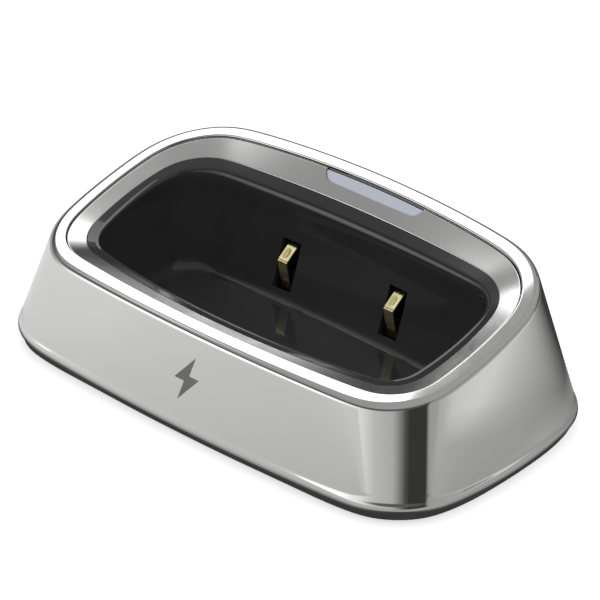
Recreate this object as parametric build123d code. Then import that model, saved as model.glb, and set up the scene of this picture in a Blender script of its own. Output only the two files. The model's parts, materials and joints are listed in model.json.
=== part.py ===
from build123d import *
import math
import os

os.makedirs("parts", exist_ok=True)

# Desktop charging cradle for a pocket handset.
# Millimetres. X = length, Y = depth (front is -Y), +Z up, origin under the centre, z = 0 on the desk.

# ---------------------------------------------------------------- driving dimensions
TOP_Z = 22.93            # height of the top land at its centre
TOP_TILT = 0.2373        # rise of the top land per mm towards the back
TOP_BOW = 411.0          # radius of the crown across the length
TOP_SHIFT = -1.73        # the top outline sits this far forward of the base outline
RING = dict(a=34.39, b=22.03, rf=12.89, rb=14.32, sf=2.87, sb=1.747, se=2.782)
LAND = 2.555             # width of the top land
OPEN = dict(a=31.84, b=19.48, rf=9.46, rb=11.96, sf=2.87, sb=1.747, se=2.782)
BASE = dict(a=36.70, b=26.52, rf=13.48, rb=13.48, sf=1.561, sb=1.561, se=4.023)
SHELL_FOOT = 1.75        # bottom edge of the plated shell
SHELL_WALL = 2.2
LIP_GAP = 0.35           # step down from the land to the black lip
BEZEL_T = 1.0            # inner bezel thickness, measured vertically
FLANGE_T = 0.95          # flange of the black insert below the bezel
LIP_T = 2.0              # bezel and flange together
RIM_FRONT = 1.9          # the same at the front
RIM = 1.25               # visible black rim between the bezel and the pocket
TUB_WALL = 1.4
FLOOR_Z = 5.5            # pocket floor
FLOOR_T = 1.6
FLOOR_HALF_X = 29.6
FLOOR_Y0, FLOOR_Y1 = -7.2, 8.9
FIT = 0.12               # gap round the black insert
CONTACT_X = 11.0         # the two charging contacts stand at +/- this
LEAF_W, LEAF_T = 1.9, 0.35
SLOT_W = 3.7
HINGE_Y, HINGE_Z = 12.6, 5.3
BOARD_Z0, BOARD_T = 3.4, 1.0
PAD_T = 0.9
TRAY_Z0 = 0.4
POSTS = [(-34.2, -8.0), (34.2, -8.0), (-34.2, 6.0), (34.2, 6.0)]


# ---------------------------------------------------------------- outlines
def _fillet_centre(c1, R1, c2, R2, r, sign):
    d1, d2 = R1 - r, R2 - r
    dx, dy = c2[0] - c1[0], c2[1] - c1[1]
    L = math.hypot(dx, dy)
    ux, uy = dx / L, dy / L
    t = (L * L + d1 * d1 - d2 * d2) / (2 * L)
    h = math.sqrt(max(d1 * d1 - t * t, 0))
    px, py = c1[0] + ux * t, c1[1] + uy * t
    cands = [(px - uy * h, py + ux * h), (px + uy * h, py - ux * h)]
    good = [c for c in cands if c[0] > 0 and c[1] * sign > 0]
    return (good or cands)[0]


def _arc(c, R, a0, a1, n):
    return [(c[0] + R * math.cos(a0 + (a1 - a0) * i / (n - 1)),
             c[1] + R * math.sin(a0 + (a1 - a0) * i / (n - 1))) for i in range(n)]


def outline(a, b, rf, rb, sf, sb, se, counts=(4, 5, 4, 5, 4)):
    """Closed outline of four shallow arcs joined by four corner arcs, symmetric about x = 0."""
    RF = (a * a + sf * sf) / (2 * sf)
    RB = (a * a + sb * sb) / (2 * sb)
    cF, cB = (0, -b + RF), (0, b - RB)
    RE = (b * b + se * se) / (2 * se)
    cE = (a + se - (RE - se), 0.0)
    kf = _fillet_centre(cF, RF, cE, RE, rf, -1)
    kb = _fillet_centre(cB, RB, cE, RE, rb, +1)
    ang = lambda p, q: math.atan2(q[1] - p[1], q[0] - p[0])
    tF, t1, t2, tB = ang(cF, kf), ang(cE, kf), ang(cE, kb), ang(cB, kb)
    pts = _arc(cF, RF, -math.pi / 2, tF, counts[0])
    pts += _arc(kf, rf, tF, t1, counts[1])[1:]
    pts += _arc(cE, RE, t1, t2, counts[2])[1:]
    pts += _arc(kb, rb, t2, tB, counts[3])[1:]
    pts += _arc(cB, RB, tB, math.pi / 2, counts[4])[1:]
    mirror = [(-x, y) for x, y in reversed(pts)][1:-1]
    return pts + mirror


def grown(spec, d):
    """The same outline moved outwards by d."""
    s = dict(spec)
    s["a"] += d
    s["b"] += d
    s["rf"] += d
    s["rb"] += d
    return s


def top_z(x, y):
    """Height of the top land."""
    return TOP_Z + TOP_TILT * (y - TOP_SHIFT) - (TOP_BOW - math.sqrt(TOP_BOW ** 2 - x * x))


def ring_pts(spec):
    return [(x, y + TOP_SHIFT) for x, y in outline(**spec)]


def wire(points):
    return Wire([Edge.make_spline([Vector(*p) for p in points], periodic=True)])


def flat_face(pts, z):
    return Face(wire([(x, y, z) for x, y in pts]))


def prism(pts, z0, z1):
    return extrude(flat_face(pts, z0), amount=z1 - z0, dir=(0, 0, 1))


def block(x0, x1, y0, y1, z0, z1):
    return Pos((x0 + x1) / 2, (y0 + y1) / 2, (z0 + z1) / 2) * Box(x1 - x0, y1 - y0, z1 - z0)


def rod(x, y, z0, z1, d):
    return Pos(x, y, (z0 + z1) / 2) * Cylinder(d / 2, z1 - z0)


def poly_x(points, x0, x1):
    """Polygon in Y,Z swept from x0 to x1."""
    return extrude(Face(Wire.make_polygon([Vector(x0, y, z) for y, z in points], close=True)),
                   amount=x1 - x0, dir=(1, 0, 0))


def poly_y(points, y0, y1):
    """Polygon in X,Z swept from y0 to y1."""
    return extrude(Face(Wire.make_polygon([Vector(x, y0, z) for x, z in points], close=True)),
                   amount=y1 - y0, dir=(0, 1, 0))


def poly_z(points, z0, z1):
    return extrude(Face(Wire.make_polygon([Vector(x, y, z0) for x, y in points], close=True)),
                   amount=z1 - z0, dir=(0, 0, 1))


def above_top(dz):
    """Everything above the top land lowered by dz."""
    half = 60.0
    y0, y1 = -60.0, 60.0
    z = lambda x: top_z(x, y0) - dz
    arc = Edge.make_three_point_arc(Vector(-half, y0, z(-half)), Vector(0, y0, z(0)), Vector(half, y0, z(half)))
    up = 90.0
    e = [arc,
         Edge.make_line(Vector(half, y0, z(half)), Vector(half, y0, up)),
         Edge.make_line(Vector(half, y0, up), Vector(-half, y0, up)),
         Edge.make_line(Vector(-half, y0, up), Vector(-half, y0, z(-half)))]
    L = math.hypot(1, TOP_TILT)
    return extrude(Face(Wire(e)), amount=(y1 - y0) * L, dir=(0, 1 / L, TOP_TILT / L))


def below_top(dz):
    half = 60.0
    y0, y1 = -60.0, 60.0
    z = lambda x: top_z(x, y0) - dz
    arc = Edge.make_three_point_arc(Vector(-half, y0, z(-half)), Vector(0, y0, z(0)), Vector(half, y0, z(half)))
    dn = -60.0
    e = [arc,
         Edge.make_line(Vector(half, y0, z(half)), Vector(half, y0, dn)),
         Edge.make_line(Vector(half, y0, dn), Vector(-half, y0, dn)),
         Edge.make_line(Vector(-half, y0, dn), Vector(-half, y0, z(-half)))]
    L = math.hypot(1, TOP_TILT)
    return extrude(Face(Wire(e)), amount=(y1 - y0) * L, dir=(0, 1 / L, TOP_TILT / L))


# ---------------------------------------------------------------- shell
def wall_solid(inset, levels):
    """Tapered wall between the base outline and the top outline, both moved in by inset."""
    foot = outline(**grown(BASE, -inset))
    head = ring_pts(grown(RING, -inset))
    real = ring_pts(RING)
    secs = []
    for z, ze in levels:
        pts = []
        for (cx, cy), (ax, ay), (rx, ry) in zip(foot, head, real):
            s = (ze - SHELL_FOOT) / (top_z(rx, ry) - SHELL_FOOT)
            pts.append((cx + (ax - cx) * s, cy + (ay - cy) * s, z))
        secs.append(wire(pts))
    return Solid.make_loft(secs, ruled=True)


ROLL = [(1.75, 2.25), (2.30, 1.75), (3.60, 3.20)]
outer = wall_solid(0.0, ROLL + [(31.0, 31.0)])
outer = outer & below_top(0.0)
cavity = wall_solid(SHELL_WALL, [(-1.0, 1.75), (2.0, 2.0), (31.0, 31.0)])
cavity = cavity & below_top(3.6)


# ---------------------------------------------------------------- lip and bowl surfaces
open_pts = ring_pts(OPEN)
LIP = dict(a=28.84, b=16.58, rf=7.4, rb=9.4, sf=2.87, sb=1.747, se=2.782)
lip_in = [(x, y + TOP_SHIFT - 0.25) for x, y in outline(**LIP)]
B3 = [(x, y, top_z(x, y) - LIP_GAP) for x, y in open_pts]
L3 = []


def blend(y, lo, hi):
    t = max(0.0, min(1.0, (y + 12.0) / 22.0))
    t = t * t * (3 - 2 * t)
    return lo + (hi - lo) * t


for x, y in lip_in:
    q = (x / 34.4) ** 2
    L3.append((x, y, top_z(x, y) - (blend(y, 1.6, 3.0) * (1 - q) + 1.35 * q)))


def lip_point(i, s, dz):
    b, l = B3[i], L3[i]
    return tuple(b[k] + (l[k] - b[k]) * s + (dz if k == 2 else 0.0) for k in range(3))


def lip_solid(s, dz, deep=2.0):
    """Space above the lip surface (moved by dz), out to the ring s; s = 0 is the opening, 1 the bezel's inner edge."""
    n = len(B3)
    ring = [lip_point(i, s, dz) for i in range(n)]
    edge = [lip_point(i, 1.5, dz) for i in range(n)]
    top = [(p[0], p[1], 40.0) for p in ring]
    zlow = min(p[2] for p in edge) - deep
    low = []
    for p in edge:
        f = 0.55
        low.append((p[0] * f, (p[1] + 1.5) * f - 1.5, zlow))
    return Solid.make_loft([wire(top), wire(ring), wire(edge), wire(low)], ruled=True)


floor_spec = dict(a=FLOOR_HALF_X - 1.6, b=(FLOOR_Y1 - FLOOR_Y0) / 2, rf=5.5, rb=5.5, sf=0.5, sb=0.9, se=0.8)
floor_pts = [(x, y + (FLOOR_Y0 + FLOOR_Y1) / 2) for x, y in outline(**floor_spec)]


def moved_out(pts, d):
    """Points of a closed outline moved outwards by d."""
    out = []
    m = len(pts)
    for i in range(m):
        if callable(d):
            w = d(pts[i][1])
        else:
            w = d
        a, b = pts[i - 1], pts[(i + 1) % m]
        tx, ty = b[0] - a[0], b[1] - a[1]
        L = math.hypot(tx, ty)
        out.append((pts[i][0] + ty / L * w, pts[i][1] - tx / L * w) + tuple(pts[i][2:]))
    return out


def bowl_solid(grow_top, grow_floor, z_floor, levels):
    """Pocket surface from the bezel's inner edge down to the floor outline, each moved outwards."""
    n = len(L3)
    head = moved_out(L3, grow_top)
    foot = moved_out(floor_pts, grow_floor)
    secs = []
    for z in levels:
        pts = []
        for i in range(n):
            lx, ly, lz = head[i]
            fx, fy = foot[i]
            u = (lz - z) / (lz - z_floor)
            side = max(-1.0, min(1.0, (ly + 1.5) / 15.0))
            e = 2.05 - 0.45 * side
            g = u ** e if u > 0 else 0.0
            pts.append((lx + (fx - lx) * g, ly + (fy - ly) * g, z))
        secs.append(wire(pts))
    return Solid.make_loft(secs, ruled=True)


BOWL_LEVELS = [32.0, 21.0, 15.0, 11.0, 8.3, 6.5, FLOOR_Z]
SEAT = FIT / 3.4
lip_cut = lip_solid(-0.30, 0.0)
bezel_body = lip_solid(SEAT, -BEZEL_T)
flange_body = lip_solid(SEAT, -LIP_T) - lip_solid(-0.30, -(LIP_T - FLANGE_T))
bowl = bowl_solid(lambda y: -blend(y, RIM_FRONT, RIM), 0.0, FLOOR_Z, BOWL_LEVELS)
tub = bowl_solid(0.0, TUB_WALL, FLOOR_Z, BOWL_LEVELS)
tub_foot_face = [f for f in tub.faces() if abs(f.center().Z - FLOOR_Z) < 1e-3 and abs(f.normal_at().Z) > 0.9][0]
tub = tub + extrude(tub_foot_face, amount=FLOOR_T, dir=(0, 0, -1))

# ---------------------------------------------------------------- shell and insert
shell = outer - cavity
shell -= lip_solid(0.0, -LIP_T - 0.05)
shell -= prism(ring_pts(grown(OPEN, -1.5)), 0, 40)
shell -= block(-9.0, 9.0, 15.8, 17.65, 18, 26)               # notch for the light guide
PLUG_W, PLUG_Z0, PLUG_Z1 = 11.6, 3.0, 9.4
plug_hole = block(-PLUG_W / 2, PLUG_W / 2, 20.0, 30.0, PLUG_Z0, PLUG_Z1)
plug_hole = fillet(plug_hole.edges().filter_by(Axis.Y), 1.4)
shell -= plug_hole

insert = (flange_body + (tub - lip_cut)) - bowl
bezel = (bezel_body - lip_cut) - bowl_solid(0.06, TUB_WALL, FLOOR_Z, [32.0, 21.0, 15.0, 11.0])
for px, py in POSTS:
    post = rod(px, py, 2.95, 15.0, 5.0) - bowl
    insert += post
for px, py in POSTS:
    insert -= rod(px, py, 2.0, 9.5, 2.3)

SLOT_PROFILE = [(4.0, 7.05), (9.60, 7.05), (11.85, 4.85), (19.0, 4.85), (19.0, 15.1), (4.0, 15.1)]
SLOT_FULL = [(9.0, 7.05), (9.60, 7.05), (11.85, 4.85), (19.0, 4.85), (19.0, 15.1), (9.0, 15.1)]
for cx in (-CONTACT_X, CONTACT_X):
    insert -= poly_x(SLOT_FULL, cx - SLOT_W / 2, cx + SLOT_W / 2)

# status window in the back of the lip
WIN_X = 1.0               # the window sits a little right of centre


def window_foot(g, y_back):
    p = [(-10.0 - g, y_back), (-9.8 - g, 17.1), (-9.1 - g, 16.5 - g), (-8.2 - g, 16.2 - g),
         (8.2 + g, 16.2 - g), (9.1 + g, 16.5 - g), (9.8 + g, 17.1), (10.0 + g, y_back)]
    return [(x + WIN_X, y) for x, y in p]


layer = (lip_solid(SEAT, -LIP_T) - lip_cut) & block(-12, 12, 14.6, 20, 19.5, 40)
window = layer & poly_z(window_foot(0.0, 19.0), 10, 40)
insert -= poly_z(window_foot(0.06, 19.5), 19.5, 40)
bezel -= poly_z(window_foot(0.06, 19.5), 10, 40)

# blank generic charging symbol, inlaid in the front wall
MX, MZ = 0.0, 10.2
BOLT = [(1.25, 3.8), (-2.4, -0.5), (-0.4, -0.5), (-1.25, -3.8), (2.4, 0.5), (0.4, 0.5)]


def bolt_prism(g):
    pts = []
    n = len(BOLT)
    for i in range(n):
        x0, z0 = BOLT[i - 1]
        x1, z1 = BOLT[i]
        x2, z2 = BOLT[(i + 1) % n]
        a1 = math.atan2(z1 - z0, x1 - x0)
        a2 = math.atan2(z2 - z1, x2 - x1)
        n1 = (math.sin(a1), -math.cos(a1))
        n2 = (math.sin(a2), -math.cos(a2))
        k = 1 + n1[0] * n2[0] + n1[1] * n2[1]
        pts.append((MX + x1 + g * (n1[0] + n2[0]) / k, MZ + z1 + g * (n1[1] + n2[1]) / k))
    return poly_y(pts, -40, -10)


skin = bolt_prism(1.0) & outer
mark = (bolt_prism(0.0) & outer) - Pos(0, 0.30, 0) * skin
shell -= (bolt_prism(0.04) & outer) - Pos(0, 0.34, 0) * skin

# ---------------------------------------------------------------- sprung contacts
LEAF = [(13.2, 5.30), (11.25, 5.30), (9.48, 12.10), (11.90, 13.90), (13.0, 14.30)]


def leaf(cx):
    t = LEAF_T / 2
    left, right = [], []
    n = len(LEAF)
    for i in range(n):
        d = []
        if i > 0:
            d.append((LEAF[i][0] - LEAF[i - 1][0], LEAF[i][1] - LEAF[i - 1][1]))
        if i < n - 1:
            d.append((LEAF[i + 1][0] - LEAF[i][0], LEAF[i + 1][1] - LEAF[i][1]))
        d = [(a / math.hypot(a, b), b / math.hypot(a, b)) for a, b in d]
        nn = [(-b, a) for a, b in d]
        if len(nn) == 1:
            m = nn[0]
        else:
            k = 1 + nn[0][0] * nn[1][0] + nn[0][1] * nn[1][1]
            m = ((nn[0][0] + nn[1][0]) / k, (nn[0][1] + nn[1][1]) / k)
        left.append((LEAF[i][0] + m[0] * t, LEAF[i][1] + m[1] * t))
        right.append((LEAF[i][0] - m[0] * t, LEAF[i][1] - m[1] * t))
    body = poly_x(left + right[::-1], cx - LEAF_W / 2, cx + LEAF_W / 2)
    # shallow pressed groove down the bright face
    d = Pos(cx, 10.69, 13.0) * Rot(X=36.6) * Pos(0, 0, LEAF_T / 2 + 0.02) * Box(0.35, 1.5, 0.24)
    return body - d


contact_left, contact_right = leaf(-CONTACT_X), leaf(CONTACT_X)

# insulating block that guards the feet of the two leaves
bz0 = BOARD_Z0 + BOARD_T
cblock = block(-14.6, 14.6, 11.75, 14.7, bz0, 7.9)
for cx in (-CONTACT_X, CONTACT_X):
    cblock -= block(cx - 1.55, cx + 1.55, 11.0, 13.9, bz0 - 1, 9)
cblock -= block(-6.5, 6.5, 11.0, 14.25, 6.3, 9)
cblock_screws = []
for cx in (-4.3, 4.3):
    cblock -= rod(cx, 12.9, bz0 - 1, 9, 1.35)
    s = rod(cx, 12.9, BOARD_Z0 - 0.1, 6.3, 1.25) + rod(cx, 12.9, 6.3, 7.0, 2.3)
    s -= block(cx - 1.0, cx + 1.0, 12.75, 13.05, 6.7, 7.2)
    cblock_screws.append(s)

# board
bx, by0, by1 = 27.0, 11.85, 22.3
board = block(-bx, bx, by0, by1, BOARD_Z0, bz0)
board = fillet(board.edges().filter_by(Axis.Z), 1.0)
BSCREW = [(-23.6, 17.4), (23.6, 17.4)]
for x, y in BSCREW:
    board -= rod(x, y, 3, 5, 2.3)
for cx in (-4.3, 4.3):
    board -= rod(cx, 12.9, 3, 5, 1.35)

chip = block(10.0, 15.0, 16.4, 21.0, bz0 + 0.1, bz0 + 1.3)
pins = []
for i in range(4):
    yy = 16.9 + i * 1.2
    chip += block(9.3, 10.1, yy, yy + 0.45, bz0, bz0 + 0.5)
    chip += block(14.9, 15.7, yy, yy + 0.45, bz0, bz0 + 0.5)
inductor = block(-15.6, -10.0, 16.0, 21.4, bz0, bz0 + 0.6) + rod(-12.8, 18.7, bz0 + 0.5, bz0 + 3.2, 4.9) \
    + block(-15.0, -10.6, 16.6, 20.8, bz0 + 2.9, bz0 + 3.5)
caps = [rod(18.6, 14.4, bz0, bz0 + 4.4, 3.9), rod(-18.6, 14.4, bz0, bz0 + 4.4, 3.9),
        block(16.6, 18.2, 18.6, 19.5, bz0, bz0 + 0.9), block(16.6, 18.2, 20.2, 21.1, bz0, bz0 + 0.9)]
ress = [block(-18.4 + k * 0, -16.8, 17.6 + 1.4 * k, 18.4 + 1.4 * k, bz0, bz0 + 0.5) for k in range(3)] + \
       [block(-21.4, -19.8, 19.0 + 1.4 * k, 19.8 + 1.4 * k, bz0, bz0 + 0.5) for k in range(2)]
terminals = []
for cx in (-CONTACT_X, CONTACT_X):
    terminals.append(block(cx - 0.9, cx + 0.9, 14.75, 15.05, bz0 + 0.3, 7.5) + block(cx - 0.9, cx + 0.9, 14.75, 15.9, bz0, bz0 + 0.32))

board_screws = []
for x, y in BSCREW:
    s = rod(x, y, 2.3, bz0, 2.1) + rod(x, y, bz0, bz0 + 1.2, 3.9)
    s -= block(x - 1.5, x + 1.5, y - 0.25, y + 0.25, bz0 + 0.7, bz0 + 2)
    s -= block(x - 0.25, x + 0.25, y - 1.5, y + 1.5, bz0 + 0.7, bz0 + 2)
    board_screws.append(s)

# power socket: folded shell, tongue and contacts
sy0, sy1, sz0, sz1, sw = 15.2, 22.9, bz0, bz0 + 3.9, 7.7
sock_out = [(-sw / 2, sz1), (-sw / 2, sz0 + 1.1), (-sw / 2 + 0.9, sz0), (sw / 2 - 0.9, sz0), (sw / 2, sz0 + 1.1), (sw / 2, sz1)]
w = 0.35
sock_in = [(-sw / 2 + w, sz1 - w), (-sw / 2 + w, sz0 + 1.1 + w * 0.45), (-sw / 2 + 0.9 + w * 0.45, sz0 + w),
           (sw / 2 - 0.9 - w * 0.45, sz0 + w), (sw / 2 - w, sz0 + 1.1 + w * 0.45), (sw / 2 - w, sz1 - w)]
socket_shell = poly_y(sock_out, sy0, sy1) - poly_y(sock_in, sy0 + 0.5, sy1 + 1)
tongue = block(-2.3, 2.3, sy0 + 0.55, sy1 - 0.9, sz0 + 2.15, sz0 + 2.85) + block(-3.1, 3.1, sy0 + 0.55, sy0 + 1.5, sz0 + 1.55, sz0 + 3.45)
spins = []
for k in range(5):
    px = (k - 2) * 0.8
    tongue -= block(px - 0.2, px + 0.2, sy0 + 1.7, sy1 - 1.2, sz0 + 2.05, sz0 + 2.35)
    spins.append(block(px - 0.16, px + 0.16, sy0 + 1.75, sy1 - 1.3, sz0 + 2.08, sz0 + 2.33))

# light guide, two lamps and their shroud
g_top = 23.0
guide = poly_y([(-8.3, g_top), (-8.3, 13.0), (-7.9, 6.2), (-5.6, 6.2), (-5.2, 10.2), (5.2, 10.2), (5.6, 6.2),
                (7.9, 6.2), (8.3, 13.0), (8.3, g_top)], 16.1, 17.4)
lamps = [block(sx * 6.75 - 0.8, sx * 6.75 + 0.8, 16.35, 17.15, bz0, bz0 + 0.9) for sx in (-1, 1)]
shroud = block(-9.3, 9.3, 17.75, 18.55, 12.5, 15.5)
shroud = shroud + block(-9.3, -8.6, 15.9, 18.55, 12.5, 15.5) + block(8.6, 9.3, 15.9, 18.55, 12.5, 15.5)
shroud = shroud + block(-9.3, 9.3, 15.0, 15.8, 12.5, 15.5)

# ---------------------------------------------------------------- base
def tray_band(z0, z1, i0, i1):
    a = [(x, y, z0) for x, y in outline(**grown(BASE, -i0))]
    b = [(x, y, z1) for x, y in outline(**grown(BASE, -i1))]
    return Solid.make_loft([wire(a), wire(b)], ruled=True)


tray = tray_band(TRAY_Z0, SHELL_FOOT - 0.05, 0.85, 0.42)
tray += prism(outline(**grown(BASE, -2.75)), 1.2, 2.3)
rim = prism(outline(**grown(BASE, -2.75)), 2.2, 3.1) - prism(outline(**grown(BASE, -4.1)), 2.0, 4.0)
tray += rim
tray -= block(-7.0, 7.0, 20.5, 26.0, 2.3, 4.0)                  # gap in the rim below the socket
tray -= prism(outline(**grown(BASE, -3.4)), 0.0, PAD_T)        # recess for the pad
for px, py in POSTS:
    tray += rod(px, py, 2.0, 2.85, 6.4)
    tray -= rod(px, py, 0.0, 4.0, 2.5)
    tray -= rod(px, py, 0.0, 1.9, 4.6)
for x, y in BSCREW:
    tray += rod(x, y, 2.0, BOARD_Z0, 5.2)
    tray -= rod(x, y, 2.2, 4.0, 2.2)

pad = prism(outline(**grown(BASE, -3.6)), 0.0, PAD_T)
for px, py in POSTS:
    pad -= rod(px, py, -1, 2, 5.2)
LABEL = (34.0, 13.0)
pad -= block(-LABEL[0] / 2 - 0.6, LABEL[0] / 2 + 0.6, -LABEL[1] / 2 - 0.6, LABEL[1] / 2 + 0.6, -1, 2)
label = block(-LABEL[0] / 2, LABEL[0] / 2, -LABEL[1] / 2, LABEL[1] / 2, 0.72, 0.9)
label = fillet(label.edges().filter_by(Axis.Z), 1.2)

base_screws = []
for px, py in POSTS:
    s = rod(px, py, 1.9, 9.0, 2.2) + rod(px, py, 0.95, 1.9, 4.2)
    s -= block(px - 1.5, px + 1.5, py - 0.25, py + 0.25, 0, 1.4)
    s -= block(px - 0.25, px + 0.25, py - 1.5, py + 1.5, 0, 1.4)
    base_screws.append(s)

tape = block(-22.0, 22.0, -9.0, 5.0, 2.3, 2.45)
ballast = block(-26.5, 26.5, -12.0, 8.0, 2.45, 3.75)
ballast = chamfer(ballast.edges().filter_by(Axis.Z), 3.0)

# ---------------------------------------------------------------- write the nodes
nodes = {
    "outer_shell": shell, "inner_bezel": bezel, "cradle_insert": insert, "status_window": window, "front_mark": mark,
    "contact_left": contact_left, "contact_right": contact_right,
    "contact_block": cblock, "contact_block_screws": cblock_screws, "contact_terminals": terminals,
    "main_board": board, "charge_chip": chip, "inductor": inductor, "capacitors": caps, "resistors": ress,
    "board_screws": board_screws, "socket_shell": socket_shell, "socket_tongue": tongue, "socket_pins": spins,
    "light_guide": guide, "status_lamps": lamps, "light_shroud": shroud,
    "base_tray": tray, "non_slip_pad": pad, "blank_label": label, "base_screws": base_screws,
    "ballast_tape": tape, "ballast_plate": ballast,
}
for name, shape in nodes.items():
    if isinstance(shape, list):
        shape = Compound(children=[Solid(s.wrapped) if isinstance(s, Solid) else s.solids()[0] for s in shape])
    sol = shape.solids()
    ok = all(q.volume > 0 for q in sol)
    print("%-22s solids %d volume %.2f %s %s" % (name, len(sol), sum(q.volume for q in sol), "" if ok else "BAD", all(q.is_valid for q in sol)))
    if len(sol) == 1:
        shape = sol[0]
    export_step(shape, "parts/%s.step" % name)
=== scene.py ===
import bpy
import json
import math
import numpy as np
from mathutils import Matrix, Vector
from mathutils.bvhtree import BVHTree


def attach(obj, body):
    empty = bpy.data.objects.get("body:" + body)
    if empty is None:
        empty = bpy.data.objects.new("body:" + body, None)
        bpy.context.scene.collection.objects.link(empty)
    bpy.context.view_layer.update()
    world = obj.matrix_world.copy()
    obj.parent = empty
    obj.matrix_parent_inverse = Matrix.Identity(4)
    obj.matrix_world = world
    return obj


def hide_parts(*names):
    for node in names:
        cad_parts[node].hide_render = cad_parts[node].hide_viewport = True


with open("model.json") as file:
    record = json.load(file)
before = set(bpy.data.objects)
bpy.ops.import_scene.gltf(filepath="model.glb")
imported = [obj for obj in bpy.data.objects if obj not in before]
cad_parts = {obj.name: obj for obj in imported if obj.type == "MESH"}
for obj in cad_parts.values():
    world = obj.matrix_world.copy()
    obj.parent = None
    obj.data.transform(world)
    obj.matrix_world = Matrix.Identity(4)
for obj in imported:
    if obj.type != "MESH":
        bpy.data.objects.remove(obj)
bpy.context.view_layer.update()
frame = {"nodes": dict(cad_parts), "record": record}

MM = 0.001

# ------------------------------------------------------------------ form (millimetres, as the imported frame)
TOP_Z, TOP_TILT, TOP_BOW, TOP_SHIFT = 22.93, 0.2373, 411.0, -1.73
RING = dict(a=34.39, b=22.03, rf=12.89, rb=14.32, sf=2.87, sb=1.747, se=2.782)
OPEN = dict(a=31.84, b=19.48, rf=9.46, rb=11.96, sf=2.87, sb=1.747, se=2.782)
BASE = dict(a=36.70, b=26.52, rf=13.48, rb=13.48, sf=1.561, sb=1.561, se=4.023)
LIP = dict(a=28.84, b=16.58, rf=7.4, rb=9.4, sf=2.87, sb=1.747, se=2.782)
FOOT, WALL = 1.75, 2.2
LIP_GAP, BEZEL_T, LIP_T, RIM, RIM_FRONT, TUB_WALL = 0.35, 1.0, 2.0, 1.25, 1.9, 1.4
FLOOR_Z, FLOOR_T = 5.5, 1.6
FLOOR_HALF_X, FLOOR_Y0, FLOOR_Y1 = 29.6, -7.2, 8.9
CONTACT_X, LEAF_W, LEAF_T, SLOT_W = 11.0, 1.9, 0.35, 3.7
COUNTS = (30, 30, 26, 30, 30)


def fillet_centre(c1, R1, c2, R2, r, sign):
    d1, d2 = R1 - r, R2 - r
    dx, dy = c2[0] - c1[0], c2[1] - c1[1]
    L = math.hypot(dx, dy)
    ux, uy = dx / L, dy / L
    t = (L * L + d1 * d1 - d2 * d2) / (2 * L)
    h = math.sqrt(max(d1 * d1 - t * t, 0))
    px, py = c1[0] + ux * t, c1[1] + uy * t
    c = [(px - uy * h, py + ux * h), (px + uy * h, py - ux * h)]
    good = [q for q in c if q[0] > 0 and q[1] * sign > 0]
    return (good or c)[0]


def arc(c, R, a0, a1, n):
    t = np.linspace(a0, a1, n)
    return np.c_[c[0] + R * np.cos(t), c[1] + R * np.sin(t)]


def outline(a, b, rf, rb, sf, sb, se, smooth=3.0):
    RF, RB = (a * a + sf * sf) / (2 * sf), (a * a + sb * sb) / (2 * sb)
    cF, cB = (0, -b + RF), (0, b - RB)
    RE = (b * b + se * se) / (2 * se)
    cE = (a + se - (RE - se), 0.0)
    kf = fillet_centre(cF, RF, cE, RE, rf, -1)
    kb = fillet_centre(cB, RB, cE, RE, rb, +1)
    ang = lambda p, q: math.atan2(q[1] - p[1], q[0] - p[0])
    tF, t1, t2, tB = ang(cF, kf), ang(cE, kf), ang(cE, kb), ang(cB, kb)
    H = np.vstack([arc(cF, RF, -math.pi / 2, tF, COUNTS[0]), arc(kf, rf, tF, t1, COUNTS[1])[1:],
                   arc(cE, RE, t1, t2, COUNTS[2])[1:], arc(kb, rb, t2, tB, COUNTS[3])[1:],
                   arc(cB, RB, tB, math.pi / 2, COUNTS[4])[1:]])
    P = np.vstack([H, (H[::-1] * [-1, 1])[1:-1]])
    if smooth:
        k = int(3 * smooth)
        w = np.exp(-0.5 * (np.arange(-k, k + 1) / smooth) ** 2)
        w /= w.sum()
        Q = sum(w[j + k] * np.roll(P, j, axis=0) for j in range(-k, k + 1))
        P = Q
    return P


def grown(spec, d):
    s = dict(spec)
    for k in ("a", "b", "rf", "rb"):
        s[k] += d
    return s


def top_z(P):
    x, y = P[:, 0], P[:, 1]
    return TOP_Z + TOP_TILT * (y - TOP_SHIFT) - (TOP_BOW - np.sqrt(TOP_BOW ** 2 - x * x))


def shifted(P, dy):
    return P + [0, dy]


def blend(y, lo, hi):
    t = np.clip((y + 12.0) / 22.0, 0, 1)
    t = t * t * (3 - 2 * t)
    return lo + (hi - lo) * t


def with_z(P, z):
    return np.c_[P, np.broadcast_to(z, (len(P),))]


def normals2d(P):
    t = np.roll(P, -1, axis=0) - np.roll(P, 1, axis=0)
    t = t[:, :2] / np.linalg.norm(t[:, :2], axis=1)[:, None]
    return np.c_[t[:, 1], -t[:, 0]]


def moved_out(P, d):
    Q = P.copy()
    Q[:, :2] += normals2d(P) * d
    return Q


def unit(v):
    return v / np.maximum(np.linalg.norm(v, axis=1), 1e-12)[:, None]


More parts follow.
